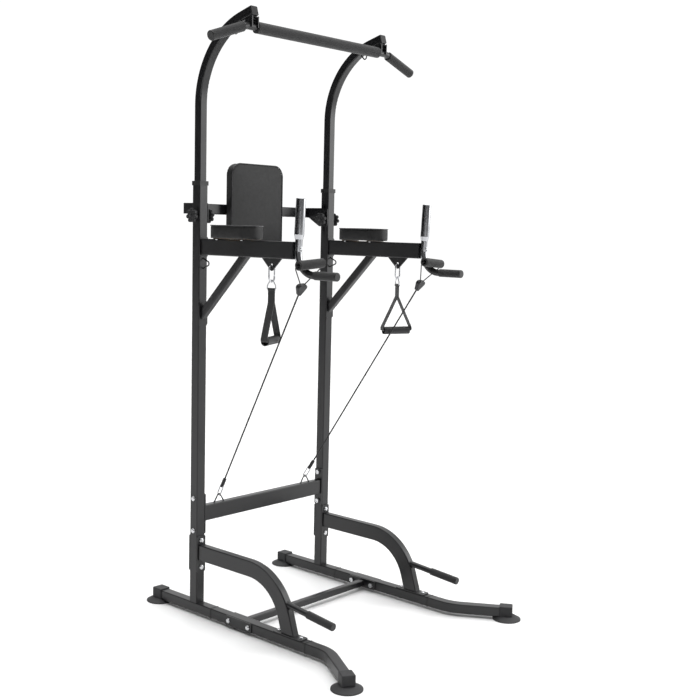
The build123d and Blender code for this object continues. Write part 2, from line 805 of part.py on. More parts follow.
def back_pad():
    """Cushion of the back pad, closed round its board."""
    width, depth, height = back_pad_size
    cushion = Pos(0, back_pad_front + depth / 2, back_pad_bottom + height / 2) * Box(width, depth, height)
    cushion = fillet(cushion.edges().filter_by(Axis.Y), back_pad_corner)
    cushion = fillet(cushion.edges().group_by(Axis.Y)[0], 10)
    recess = Pos(0, back_bar_front - board_thickness / 2, back_pad_bottom + height / 2) * Box(
        width - 2 * board_inset, board_thickness, height - 2 * board_inset
    )
    recess = fillet(recess.edges().filter_by(Axis.Y), back_pad_corner - board_inset)
    return cushion - recess


# ---- knobs --------------------------------------------------------------------------------------------
def star_knob(base, direction, screw_reach):
    """Star knob with its clamp screw: the plastic starts at base, the screw runs the other way."""
    lobes = 7
    lobe_radius = knob_diameter * 0.14
    star = Circle(knob_diameter / 2 - lobe_radius)
    star = star + PolarLocations(knob_diameter / 2 - lobe_radius, lobes) * Circle(lobe_radius)
    hub_height = 7.0
    head = Pos(0, 0, hub_height) * extrude(star, knob_height - hub_height)
    head = fillet(head.edges().group_by(Axis.Z)[-1], 3)
    hub = Cylinder(11, hub_height + 1, align=(Align.CENTER, Align.CENTER, Align.MIN))
    bore = Cylinder(clamp_screw / 2, 60)
    stud = Cylinder(clamp_screw / 2, knob_height + screw_reach, align=(Align.CENTER, Align.CENTER, Align.MIN))
    stud = Pos(0, 0, -screw_reach) * stud
    button = Pos(0, 0, knob_height) * Cylinder(7, 2, align=(Align.CENTER, Align.CENTER, Align.MIN))
    place = Plane(origin=base, z_dir=direction)
    return group([place * (head + hub - bore), place * (stud + button)])


def height_knob():
    """Outer knob: its screw passes the weld boss and stops short of the upper upright."""
    base_x = half_span + upright_face + knob_boss + free_gap
    reach = base_x - (half_span + upper_face + tip_gap)
    return star_knob((base_x, 0, knob_level), (1, 0, 0), reach)


def backrest_knob():
    """Inner knob: its screw passes the weld nut, the side plate and the upright's slot."""
    base_x = plate_inner - knob_boss - free_gap
    reach = (half_span - upper_face - tip_gap) - base_x
    return star_knob((base_x, 0, knob_level), (-1, 0, 0), reach)


# ---- pull-up bar --------------------------------------------------------------------------------------
def bar_path(first, last):
    """Part of the pull-up bar's centre line between two of its four points."""
    points = [
        (-bar_end[0], bar_y, bar_end[1]),
        (-bar_corner_x, bar_y, bar_level),
        (bar_corner_x, bar_y, bar_level),
        (bar_end[0], bar_y, bar_end[1]),
    ]
    return FilletPolyline(*points[first:last], radius=bar_bend)


end_slope = (bar_end[1] - bar_level) / (bar_end[0] - bar_corner_x)
end_direction = Vector(1, 0, end_slope).normalized()


def bar_bracket():
    """Seat plate under an upper upright's end, with two ribs welded to the bar."""
    seat = along(bracket_centre, top_normal, -upper_face)
    place = Plane(origin=seat, x_dir=(1, 0, 0), z_dir=top_normal)
    web = place * Pos(0, 0, -bracket_thickness / 2) * Box(upper_side, bracket_length, bracket_thickness)
    rib = box_between((-2, bar_y - 18, bar_level - 4), (2, bar_y + 18, bar_level + 60))
    under = place * Pos(0, 0, -50 - bracket_thickness) * Box(200, 200, 100)
    ribs = [Pos(half_span + offset, 0, 0) * rib & under for offset in (-14.5, 14.5)]
    return drilled(web, bar_bolts) + ribs[0] + ribs[1]


def pull_up_bar():
    """Pull-up bar with drooping ends and a welded seat bracket under each upper upright."""
    path = bar_path(0, 4)
    bracket = bar_bracket()
    core = round_rod(path, handle_tube - 2 * handle_wall)
    return round_rod(path, handle_tube) + bracket + mirror(bracket, about=Plane.YZ) - core


def end_grip():
    """Foam sleeve on one drooping end of the bar."""
    start = Vector(end_grip_start, bar_y, bar_level + (end_grip_start - bar_corner_x) * end_slope)
    end = Vector(bar_end[0], bar_y, bar_end[1])
    return cylinder_between(start, end, end_grip_diameter) - round_rod(bar_path(1, 4), handle_tube)


def pull_up_foam():
    """Long foam sleeve on the middle of the bar, with the two end sleeves."""
    start = (-foam_half_length, bar_y, bar_level)
    end = (foam_half_length, bar_y, bar_level)
    middle = cylinder_between(start, end, foam_diameter) - cylinder_between(start, end, handle_tube)
    return group([middle, *both(end_grip())])


# ---- elastic cords ------------------------------------------------------------------------------------
loop_side = (loop_half_width**2 + (loop_height + loop_wire / 2) ** 2) ** 0.5
loop_apex = crossbar_top + loop_height - loop_corner * (loop_side / loop_half_width - 1)
apex_centre = Vector(bar_loop_x, 0, loop_apex)
bend_centre = Vector(
    half_span, dip_corner_y - dip_bend / cos(radians(dip_lean)) - dip_bend * lean_slope, dip_level + dip_bend
)
grip_clearance = 0.7
nest_radius = dip_bend - handle_radius - cord_grip_diameter / 2 - grip_clearance
pull = Vector(0, apex_centre.Y - bend_centre.Y, apex_centre.Z - bend_centre.Z).normalized()
grip_centre = bend_centre + pull * nest_radius + Vector(cord_grip_offset, 0, 0)
cord_direction = (grip_centre - apex_centre).normalized()
hook_foot = apex_centre - cord_direction * (loop_wire / 2 + hook_wire / 2 + 2 * tip_gap)
cord_length = (grip_centre - hook_foot).length
hook_frame = Plane(origin=hook_foot, x_dir=(1, 0, 0), z_dir=cord_direction)
grip_frame = Plane(origin=grip_centre, x_dir=(1, 0, 0), z_dir=cord_direction)
cover_bottom = cover_drop + cover_width * 0.62
cover_top = cover_drop - cover_width * 0.42


def hook_ring(wire):
    """Long closed link in the hook frame, its lower bend at the origin."""
    path = SlotOverall(hook_length, 2 * hook_radius).wire()
    middle = Plane(origin=(0, 0, hook_length / 2), x_dir=(0, 0, 1), z_dir=(1, 0, 0))
    track = middle * path
    return sweep(Plane(origin=track @ 0, z_dir=track % 0) * Circle(wire / 2), path=track)


def cord_hook():
    """Link that hangs the cord from the crossbar's wire loop."""
    return hook_frame * hook_ring(hook_wire)


def cord_sleeve():
    """Crimped sleeve on the cord's lower end, threaded by the link."""
    low, high = cord_sleeve_span
    body = Pos(0, 0, (low + high) / 2) * Cylinder(cord_sleeve_diameter / 2, high - low)
    body = fillet(body.edges().filter_by(GeomType.CIRCLE), 2)
    return hook_frame * (body - hook_ring(hook_wire + 2 * tip_gap))


def elastic_cord():
    """Taut elastic cord from the sleeve to the cover."""
    start = hook_foot + cord_direction * cord_sleeve_span[1]
    end = grip_centre - cord_direction * cover_bottom
    return cylinder_between(start, end, cord_diameter)


def cord_cover():
    """Heart-shaped cover that hides the knot between cord and grip loop."""
    half = cover_width / 2
    lobe = half * 0.52
    lobes = Pos(-half + lobe, lobe * 0.6) * Circle(lobe) + Pos(half - lobe, lobe * 0.6) * Circle(lobe)
    wedge = Polygon(
        (-half + 1, lobe * 0.6),
        (-5, -cover_bottom + cover_drop),
        (5, -cover_bottom + cover_drop),
        (half - 1, lobe * 0.6),
        align=None,
    )
    face = make_hull((lobes + wedge).edges())
    heart = extrude(face, cover_thickness / 2, both=True)
    heart = fillet(heart.edges().group_by(Axis.Z)[-1] + heart.edges().group_by(Axis.Z)[0], 4)
    upright = Plane(origin=(0, 0, -cover_drop), x_dir=(1, 0, 0), z_dir=(0, -1, 0))
    return grip_frame * (upright * heart)


strand_points = [
    (cover_width * 0.24, -cover_top),
    (cord_grip_length / 2 + 9, -9),
    (cord_grip_length / 2 + 3, 0),
]
strand_radii = [6.0, 7.0]


def cord_loop_path():
    """Centre line of the grip loop: out of the cover, through the grip and back."""
    left = [(-x, z) for x, z in strand_points]
    points = [(x, 0, z) for x, z in left + strand_points[::-1]]
    return FilletPolyline(*points, radius=strand_radii + strand_radii[::-1])


def cord_loop():
    """Thin cord of the grip loop."""
    path = cord_loop_path()
    return grip_frame * round_rod(path, strand_diameter) - cord_cover()


def cord_grip():
    """Foam tube grip of an elastic cord."""
    end = cord_grip_length / 2
    outer = cylinder_between((-end, 0, 0), (end, 0, 0), cord_grip_diameter)
    outer = fillet(outer.edges().filter_by(GeomType.CIRCLE), 2)
    bore = cylinder_between((-end - 1, 0, 0), (end + 1, 0, 0), cord_grip_bore)
    return grip_frame * (outer - bore)


# ---- stirrup handles ----------------------------------------------------------------------------------
carabiner_top = gusset_hole_level - gusset_hole / 2 + carabiner_wire / 2 + tip_gap
carabiner_low = carabiner_top - carabiner_length
lower_bend = carabiner_low + carabiner_radius
pin_level = lower_bend + gate_low
gate_top = pin_level + gate_length
gate_x = half_span - carabiner_radius


def gate_axle(half_length, diameter):
    """Round bar on the gate's hinge line."""
    start = (gate_x, gusset_y - half_length, pin_level)
    return cylinder_between(start, (gate_x, gusset_y + half_length, pin_level), diameter)


def carabiner():
    """Bent-wire carabiner hanging in the gusset's hole, with a fork and pin for its gate."""
    width = 2 * carabiner_radius + carabiner_wire
    overall = carabiner_length + carabiner_wire
    middle = (carabiner_top + carabiner_low) / 2
    outer = extrude(SlotOverall(overall, width), carabiner_wire / 2, both=True)
    inner = extrude(SlotOverall(overall - 2 * carabiner_wire, width - 2 * carabiner_wire), 20, both=True)
    link = fillet((outer - inner).edges(), carabiner_wire * 0.45)
    front = Plane(origin=(half_span, gusset_y, middle), x_dir=(0, 0, 1), z_dir=(0, -1, 0))
    link = front * link
    half_wire = carabiner_wire / 2 + 1
    gap = box_between(
        (gate_x - half_wire, gusset_y - half_wire, pin_level + carabiner_wire / 2),
        (gate_x + half_wire, gusset_y + half_wire, gate_top + free_gap),
    )
    fork = box_between(
        (gate_x - half_wire, gusset_y - gate_tongue / 2 - 0.2, pin_level - carabiner_wire / 2 - 1),
        (gate_x + half_wire, gusset_y + gate_tongue / 2 + 0.2, pin_level + carabiner_wire),
    )
    pin = gate_axle(carabiner_wire / 2, gate_pin)
    return group([link - gap - fork - pin, pin])


def carabiner_gate():
    """Sprung gate: a bar with a tongue that turns on the carabiner's pin."""
    bar_bottom = pin_level + carabiner_wire / 2 + 3 * free_gap
    bar = cylinder_between((gate_x, gusset_y, bar_bottom), (gate_x, gusset_y, gate_top), gate_bar)
    tongue = box_between(
        (gate_x - gate_eye / 2 + 0.2, gusset_y - gate_tongue / 2, pin_level),
        (gate_x + gate_eye / 2 - 0.2, gusset_y + gate_tongue / 2, bar_bottom + 1),
    )
    eye = gate_axle(gate_tongue / 2, gate_eye)
    hole = gate_axle(gate_tongue, gate_pin + 2 * pin_gap)
    return bar + tongue + eye - hole


ring_top = carabiner_low + carabiner_wire / 2 + tip_gap + strap_ring_wire / 2
ring_bar = ring_top - strap_ring_height
strap_top = ring_bar + strap_ring_wire / 2 + tip_gap + strap_thickness
strap_frame = Plane(
    origin=(half_span, gusset_y, strap_top),
    x_dir=(cos(radians(strap_turn)), -sin(radians(strap_turn)), 0),
    z_dir=(-sin(radians(strap_turn)), -cos(radians(strap_turn)), 0),
)
eye_half = strap_ring_wire / 2 + strap_thickness / 2 + 2 * tip_gap


def stirrup_ring():
    """Wire ring between the carabiner and the strap, straight where the strap passes round it."""
    half = strap_width / 2 + strap_ring_wire / 2 + 1
    crown = 5.0
    shoulder = 12.0
    path = FilletPolyline(
        (half, 0), (half, shoulder), (crown, strap_ring_height),
        (-crown, strap_ring_height), (-half, shoulder), (-half, 0),
        radius=4,
        close=True,
    )
    outward = strap_frame.z_dir
    upright = Plane(origin=(half_span, gusset_y, ring_bar), x_dir=outward, z_dir=-strap_frame.x_dir)
    return round_rod(upright * path, strap_ring_wire)


def ribbon(points, radii):
    """Webbing: a strip of constant thickness along half an outline and its mirror half."""
    other = [(-x, y) for x, y in points]
    line = FilletPolyline(*points, *other[::-1], radius=radii + radii[::-1])
    return extrude(trace(line, strap_thickness), strap_width / 2, both=True)


def stirrup_strap():
    """Webbing stirrup: an eye round the carabiner, a sewn neck and two legs to the grip tube."""
    neck_low = -strap_neck - 2 * eye_half
    grip_level = -strap_drop
    ply = strap_thickness / 2 + 0.02
    eye = ribbon(
        [(ply, neck_low), (ply, -2.6 * eye_half), (eye_half, -1.6 * eye_half), (eye_half, -ply)],
        [3.0, 3.0, 3.0],
    )
    legs = ribbon(
        [
            (ply, neck_low + strap_seam),
            (ply, neck_low),
            (strap_half_width, grip_level + 12),
            (strap_half_width, grip_level),
        ],
        [10.0, 8.0, 5.0],
    )
    core = Pos(0, (neck_low + strap_seam - strap_neck) / 2) * Rectangle(0.6, strap_neck)
    return strap_frame * (eye + legs + extrude(core, strap_width / 2, both=True))


def stirrup_grip():
    """Grip tube that the strap runs through."""
    half = strap_tube_length / 2
    tube = cylinder_between((-half, -strap_drop, 0), (half, -strap_drop, 0), strap_tube_diameter)
    tube = fillet(tube.edges().filter_by(GeomType.CIRCLE), 1.5)
    bore = cylinder_between((-half - 1, -strap_drop, 0), (half + 1, -strap_drop, 0), strap_tube_bore)
    return strap_frame * (tube - bore)


# ---- nodes --------------------------------------------------------------------------------------------
def fasteners(holes):
    """Bolt and nut for every hole of one side."""
    return [piece for hole in holes for piece in dome_bolt(*hole)]


def end_caps():
    """Caps on the push-up and dip handles of one side."""
    pushup = tube_cap(pushup_end, pushup_axis(), pushup_grip_diameter, pushup_tube - 2 * rail_wall)
    bore = handle_tube - 2 * handle_wall
    dip = tube_cap((half_span, dip_front, dip_level), y_front, dip_grip_diameter, bore)
    return [pushup, dip]


def bar_caps():
    """Caps on one upper upright and one end of the pull-up bar."""
    end = (bar_end[0], bar_y, bar_end[1])
    round_cap = tube_cap(end, end_direction, end_grip_diameter, handle_tube - 2 * handle_wall)
    return [upper_end_cap(), round_cap]


def back_screws():
    """Screws through the crossbar into the back board."""
    rear = back_bar_front + back_bar_depth
    return [pan_screw((x, rear, z), y_front, back_bar_depth - 1) for x, z in back_screw_places]


def pad_screws():
    """Screws through the arm straps into one elbow board."""
    return [pan_screw(seat, direction, grip) for seat, direction, grip, _ in elbow_screws()]


sided = {
    "base_rear": base_rear,
    "base_mid": base_mid,
    "base_front": base_front,
    "brace": brace,
    "lower_upright": lower_upright,
    "dip_arm": dip_arm,
    "elbow_pad": elbow_pad,
    "height_knob": height_knob,
    "backrest_knob": backrest_knob,
    "upper_upright": upper_upright,
    "elastic_cord": elastic_cord,
    "cord_grip": cord_grip,
    "cord_cover": cord_cover,
    "cord_loop": cord_loop,
    "stirrup_carabiner": carabiner,
    "stirrup_gate": carabiner_gate,
    "stirrup_ring": stirrup_ring,
    "stirrup_strap": stirrup_strap,
    "stirrup_grip": stirrup_grip,
}
paired = {
    "rubber_feet": rubber_feet,
    "base_joint_rings": lambda: [joint_ring(rear_joint), joint_ring(front_joint)],
    "backing_plates": backing_plates,
    "handle_foam_grips": lambda: [pushup_grip(), dip_grip()],
    "upright_collars": lambda: [upright_collar()],
    "dip_handles": lambda: [dip_handle()],
    "elbow_pad_boards": lambda: [elbow_board()],
    "dip_upright_sleeves": lambda: [dip_upright_sleeve()],
    "handle_end_caps": end_caps,
    "frame_bolts": lambda: fasteners([*static_holes, dip_bolt]) + pad_screws(),
    "cord_hooks": lambda: [cord_hook()],
    "cord_sleeves": lambda: [cord_sleeve()],
    "pull_up_end_caps": bar_caps,
    "pull_up_bolts": lambda: fasteners(bar_bolts),
}
single = {
    "pull_up_foam_grips": pull_up_foam,
    "floor_cross_tube": floor_cross_tube,
    "lower_crossbar": lower_crossbar,
    "backrest_frame": backrest_frame,
    "back_pad_board": back_board,
    "back_pad": back_pad,
    "backrest_screws": lambda: group(back_screws()),
    "pull_up_bar": pull_up_bar,
}


footprint_middle = (front_foot[1] + rail_rear_end - boot_tube) / 2  # Y of the origin, from the uprights


def write(name, shape):
    """One STEP file per node, in the frame of the whole tower."""
    placed = [Pos(0, -footprint_middle, 0) * solid for solid in shape.solids()]
    export_step(Compound(placed), f"parts/{name}.step")


os.makedirs("parts", exist_ok=True)
for name, make in sided.items():
    right = make()
    write(f"{name}_right", group([right]))
    write(f"{name}_left", group([mirror(right, about=Plane.YZ)]))
for name, make in paired.items():
    write(name, group([solid for shape in make() for solid in both(shape)]))
for name, make in single.items():
    write(name, group([make()]))

loop_path = cord_loop_path()
print("elastic cord: straight,", round(cord_length - cord_sleeve_span[1] - cover_bottom, 1), "mm long")
print("cord loop: radii", strand_radii, "length", round(loop_path.length, 1))
section = 3.141592653589793 * strand_diameter**2 / 4
print("cord loop: volume", round(cord_loop().volume), "section x length", round(section * loop_path.length))
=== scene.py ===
import math

import bmesh
import bpy
from mathutils import Matrix, Vector


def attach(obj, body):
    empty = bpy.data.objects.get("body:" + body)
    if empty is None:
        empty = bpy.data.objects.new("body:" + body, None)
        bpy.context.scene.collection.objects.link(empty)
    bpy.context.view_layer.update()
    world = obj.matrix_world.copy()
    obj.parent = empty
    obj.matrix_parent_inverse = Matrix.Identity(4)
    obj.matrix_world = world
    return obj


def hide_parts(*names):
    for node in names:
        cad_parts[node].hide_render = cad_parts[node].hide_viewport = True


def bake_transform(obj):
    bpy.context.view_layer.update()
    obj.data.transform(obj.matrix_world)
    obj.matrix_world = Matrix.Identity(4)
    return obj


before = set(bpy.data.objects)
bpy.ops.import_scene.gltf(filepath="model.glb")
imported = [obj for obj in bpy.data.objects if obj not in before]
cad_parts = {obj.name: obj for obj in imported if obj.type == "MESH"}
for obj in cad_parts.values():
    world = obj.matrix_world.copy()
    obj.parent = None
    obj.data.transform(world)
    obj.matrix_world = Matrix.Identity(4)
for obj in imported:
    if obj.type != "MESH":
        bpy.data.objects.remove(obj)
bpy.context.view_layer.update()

# ---- Camera -------------------------------------------------------------------------------------------
# A viewer's height beside the front left foot, looking slightly down across the tower.
camera_data = bpy.data.cameras.new("camera")
camera_data.sensor_width = 36.0
camera_data.lens = 56.62
camera_data.clip_end = 100.0
camera = bpy.data.objects.new("camera", camera_data)
bpy.context.collection.objects.link(camera)
heading = math.radians(41.62)
dip = math.radians(6.26)
roll = math.radians(-1.35)
ahead = Vector((math.cos(heading) * math.cos(dip), math.sin(heading) * math.cos(dip), -math.sin(dip)))
aside = Vector((math.sin(heading), -math.cos(heading), 0.0))
down = ahead.cross(aside)
right = math.cos(roll) * aside + math.sin(roll) * down
up = math.sin(roll) * aside - math.cos(roll) * down
upright_y = 0.33
eye = Matrix.Translation((-3.0251, upright_y - 3.1360, 1.4779))
camera.matrix_world = eye @ Matrix((right, up, -ahead)).transposed().to_4x4()
bpy.context.scene.camera = camera
bpy.context.scene.view_settings.view_transform = "Standard"


# ---- Elastic cords ------------------------------------------------------------------------------------
# Natural rubber strands in a braided polyester sheath, 6 mm thick, drawn tight between the hook on the
# lower crossbar and the grip that sits in the bend of each dip handle.
def linear(code):
    """An sRGB hex colour as linear red, green, blue and alpha."""
    parts = [int(code[i : i + 2], 16) / 255 for i in (1, 3, 5)]
    return tuple(c / 12.92 if c <= 0.04045 else ((c + 0.055) / 1.055) ** 2.4 for c in parts) + (1.0,)


def add_node(tree, kind, values=None, links=None, **settings):
    """A shader node with its settings, socket values and incoming links."""
    node = tree.nodes.new(kind)
    for key, value in settings.items():
        setattr(node, key, value)
    for key, value in (values or {}).items():
        node.inputs[key].default_value = value
    for key, socket in (links or {}).items():
        tree.links.new(socket, node.inputs[key])
    return node


def new_material(name, colour, roughness, metallic=0.0):
    """A material with its tree, its shader and its Object coordinates."""
    material = bpy.data.materials.new(name)
    material.use_nodes = True
    tree = material.node_tree
    shader = tree.nodes["Principled BSDF"]
    shader.inputs["Base Color"].default_value = linear(colour)
    shader.inputs["Roughness"].default_value = roughness
    shader.inputs["Metallic"].default_value = metallic
    place = add_node(tree, "ShaderNodeTexCoord")
    return material, tree, shader, place.outputs["Object"]


def dress(material, *names):
    """CAD nodes take this material in every slot."""
    for name in names:
        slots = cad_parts[name].data.materials
        if len(slots) == 0:
            slots.append(material)
        for i in range(len(slots)):
            slots[i] = material


# Braid: carriers cross at 45 degrees, about 1.5 mm wide, so light breaks into small diamonds.
braided_sheath, tree, shader, place = new_material("braided polyester sheath", "#1b1b1c", 0.7)
around = add_node(tree, "ShaderNodeTexCoord").outputs["UV"]
bands = []
for turn in (-45.0, 45.0):
    turned = add_node(
        tree,
        "ShaderNodeMapping",
        {"Rotation": (0, 0, math.radians(turn)), "Scale": (90.0, 4.0, 1.0)},
        {"Vector": around},
    )
    bands.append(add_node(tree, "ShaderNodeTexWave", {"Scale": 0.5}, {"Vector": turned.outputs[0]}))
crossed = add_node(
    tree, "ShaderNodeMath", links={0: bands[0].outputs["Fac"], 1: bands[1].outputs["Fac"]}, operation="MULTIPLY"
)
raised = add_node(
    tree, "ShaderNodeBump", {"Strength": 0.6, "Distance": 0.0004}, {"Height": crossed.outputs[0]}
)
tree.links.new(raised.outputs[0], shader.inputs["Normal"])
shader.inputs["Sheen Weight"].default_value = 0.15

elastic_diameter = 0.006
elastic_points = [(0.24528, 0.28876, 0.51753), (0.28531, 0.06192, 0.88375), (0.32534, -0.16492, 1.24997)]


def spline_curve(name, points, diameter):
    """A curve of one smooth open spline with those control points, and its round section."""
    curve = bpy.data.curves.new(name, "CURVE")
    curve.dimensions = "3D"
    spline = curve.splines.new("NURBS")
    spline.points.add(len(points) - 1)
    for point, spot in zip(spline.points, points):
        point.co = (*spot, 1.0)
    spline.order_u = 3
    spline.use_endpoint_u = True
    spline.resolution_u = 16
    curve.bevel_depth = diameter / 2
    curve.bevel_resolution = 4
    curve.use_fill_caps = True
    piece = bpy.data.objects.new(name, curve)
    bpy.context.collection.objects.link(piece)
    return piece


def mesh_of(piece):
    """The piece's shape as a plain mesh, modifiers and section included."""
    bpy.context.view_layer.update()
    return bpy.data.meshes.new_from_object(piece.evaluated_get(bpy.context.evaluated_depsgraph_get()))


def smooth(mesh, angle=40.0):
    """Smooth shading, with the edges sharper than the angle left crisp."""
    mesh.shade_smooth()
    mesh.set_sharp_from_angle(angle=math.radians(angle))


for side, k in (("left", -1), ("right", 1)):
    spots = [(k * x, y, z) for x, y, z in elastic_points]
    route = spline_curve(f"elastic_route_{side}", spots, 0.0)
    line = [tuple(v.co) for v in mesh_of(route).vertices]
    route.data.bevel_depth = elastic_diameter / 2
    tube = mesh_of(route)
    bpy.data.objects.remove(route)
    elastic = bpy.data.objects.new(f"elastic_{side}", tube)
    bpy.context.collection.objects.link(elastic)
    smooth(tube, 60)
    tube.materials.clear()
    tube.materials.append(braided_sheath)
    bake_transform(elastic)
    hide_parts(f"elastic_cord_{side}")

# ---- Grip loops ---------------------------------------------------------------------------------------
# A thinner length of the same braided cord runs out of the cover, through the foam grip and back.
loop_diameter = 0.004
loop_points = [
    (0.31934, -0.18832, 1.28774),
    (0.28276, -0.21884, 1.33702),
    (0.26995, -0.22953, 1.35427),
    (0.27676, -0.23396, 1.36142),
    (0.39724, -0.22806, 1.35190),
    (0.40238, -0.22305, 1.34381),
    (0.38605, -0.21379, 1.32886),
    (0.33942, -0.18733, 1.28615),
]
for side, k in (("left", -1), ("right", 1)):
    spots = [(k * x, y, z) for x, y, z in loop_points]
    loop = spline_curve(f"grip_loop_{side}", spots, loop_diameter)
    loop.data.materials.append(braided_sheath)
    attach(loop, f"cord_handle_{side}")
    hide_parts(f"cord_loop_{side}")

# ---- Cord ends ----------------------------------------------------------------------------------------
# The hook is bright bent wire; the sleeve crimped on the cord and the heart-shaped cover over the knot
# are moulded nylon with a fine spark-eroded texture.
moulded_nylon, tree, shader, place = new_material("moulded nylon, fine texture", "#1d1d1f", 0.5)
grain = add_node(tree, "ShaderNodeTexNoise", {"Scale": 900.0, "Detail": 3.0}, {"Vector": place})
raised = add_node(
    tree, "ShaderNodeBump", {"Strength": 0.35, "Distance": 0.0003}, {"Height": grain.outputs["Fac"]}
)
tree.links.new(raised.outputs[0], shader.inputs["Normal"])
gloss = add_node(
    tree, "ShaderNodeMapRange", {"To Min": 0.42, "To Max": 0.6}, {"Value": grain.outputs["Fac"]}
)
tree.links.new(gloss.outputs[0], shader.inputs["Roughness"])
dress(moulded_nylon, "cord_sleeves", "cord_cover_left", "cord_cover_right")

# Drawn steel wire, bright zinc: faint lengthwise drawing marks soften the reflection.
bright_wire, tree, shader, place = new_material("zinc-plated drawn wire", "#c4c5c8", 0.28, 1.0)
stretched = add_node(tree, "ShaderNodeMapping", {"Scale": (900.0, 900.0, 60.0)}, {"Vector": place})
marks = add_node(tree, "ShaderNodeTexNoise", {"Scale": 1.0, "Detail": 4.0}, {"Vector": stretched.outputs[0]})
gloss = add_node(
    tree, "ShaderNodeMapRange", {"To Min": 0.2, "To Max": 0.42}, {"Value": marks.outputs["Fac"]}
)
tree.links.new(gloss.outputs[0], shader.inputs["Roughness"])
dress(
    bright_wire,
    "cord_hooks",
    "stirrup_carabiner_left",
    "stirrup_carabiner_right",
    "stirrup_gate_left",
    "stirrup_gate_right",
    "stirrup_ring_left",
    "stirrup_ring_right",
)

# ---- Tubes of the frame -------------------------------------------------------------------------------
# Square and rectangular steel tube, bent, welded and powder coated charcoal. Powder coat is satin with an
# orange peel a millimetre or two across that wobbles the highlights along the flats.
powder_coat, tree, shader, place = new_material("charcoal powder coat on steel tube", "#151517", 0.32)
peel = add_node(tree, "ShaderNodeTexNoise", {"Scale": 650.0, "Detail": 2.0, "Roughness": 0.4}, {"Vector": place})
raised = add_node(
    tree, "ShaderNodeBump", {"Strength": 0.1, "Distance": 0.0002}, {"Height": peel.outputs["Fac"]}
)
tree.links.new(raised.outputs[0], shader.inputs["Normal"])
cloudy = add_node(tree, "ShaderNodeTexNoise", {"Scale": 9.0, "Detail": 4.0}, {"Vector": place})
gloss = add_node(
    tree, "ShaderNodeMapRange", {"To Min": 0.26, "To Max": 0.38}, {"Value": cloudy.outputs["Fac"]}
)
tree.links.new(gloss.outputs[0], shader.inputs["Roughness"])
tint = add_node(
    tree,
    "ShaderNodeMix",
    {6: linear("#111113"), 7: linear("#19191b")},
    {0: cloudy.outputs["Fac"]},
    data_type="RGBA",
)
tree.links.new(tint.outputs[2], shader.inputs["Base Color"])
dress(powder_coat, "floor_cross_tube", "backing_plates", "lower_crossbar", "backrest_frame", "pull_up_bar")
for side in ("left", "right"):
    for part in ("base_rear", "base_mid", "base_front", "brace", "lower_upright", "dip_arm", "upper_upright"):
        dress(powder_coat, f"{part}_{side}")

# ---- Plastic rings, collars and end caps --------------------------------------------------------------
# Injection-moulded polyethylene, black, a little waxy where hands and tubes rub it.
black_polyethylene, tree, shader, place = new_material("black moulded polyethylene", "#161617", 0.42)
flow = add_node(tree, "ShaderNodeTexNoise", {"Scale": 120.0, "Detail": 5.0}, {"Vector": place})
gloss = add_node(
    tree, "ShaderNodeMapRange", {"To Min": 0.32, "To Max": 0.55}, {"Value": flow.outputs["Fac"]}
)
tree.links.new(gloss.outputs[0], shader.inputs["Roughness"])
raised = add_node(
    tree, "ShaderNodeBump", {"Strength": 0.15, "Distance": 0.0003}, {"Height": flow.outputs["Fac"]}
)
tree.links.new(raised.outputs[0], shader.inputs["Normal"])
dress(black_polyethylene, "base_joint_rings", "upright_collars", "handle_end_caps", "pull_up_end_caps")

# ---- Feet ---------------------------------------------------------------------------------------------
# Black rubber boots pushed over the rail ends, each with a wide round flange that grips the floor.
boot_rubber, tree, shader, place = new_material("moulded natural rubber", "#222224", 0.62)
bloom = add_node(tree, "ShaderNodeTexNoise", {"Scale": 60.0, "Detail": 6.0}, {"Vector": place})
tint = add_node(
    tree,
    "ShaderNodeMix",
    {6: linear("#1d1d1f"), 7: linear("#2b2b2d")},
    {0: bloom.outputs["Fac"]},
    data_type="RGBA",
)
tree.links.new(tint.outputs[2], shader.inputs["Base Color"])
pits = add_node(tree, "ShaderNodeTexNoise", {"Scale": 1400.0, "Detail": 2.0}, {"Vector": place})
raised = add_node(
    tree, "ShaderNodeBump", {"Strength": 0.3, "Distance": 0.0002}, {"Height": pits.outputs["Fac"]}
)
tree.links.new(raised.outputs[0], shader.inputs["Normal"])
dress(boot_rubber, "rubber_feet")

# ---- Foam grips ---------------------------------------------------------------------------------------
# Extruded nitrile foam sleeves: matt black with a skin of tiny closed cells about half a millimetre wide.
nitrile_foam, tree, shader, place = new_material("nitrile foam sleeve", "#1c1c1d", 0.86)
cells = add_node(tree, "ShaderNodeTexVoronoi", {"Scale": 1300.0}, {"Vector": place})
raised = add_node(
    tree, "ShaderNodeBump", {"Strength": 0.5, "Distance": 0.0003}, {"Height": cells.outputs["Distance"]}
)
tree.links.new(raised.outputs[0], shader.inputs["Normal"])
soft = add_node(tree, "ShaderNodeTexNoise", {"Scale": 45.0, "Detail": 5.0}, {"Vector": place})
tint = add_node(
    tree,
    "ShaderNodeMix",
    {6: linear("#19191a"), 7: linear("#262627")},
    {0: soft.outputs["Fac"]},
    data_type="RGBA",
)
tree.links.new(tint.outputs[2], shader.inputs["Base Color"])
shader.inputs["Sheen Weight"].default_value = 0.2
dress(nitrile_foam, "handle_foam_grips", "pull_up_foam_grips", "cord_grip_left", "cord_grip_right")

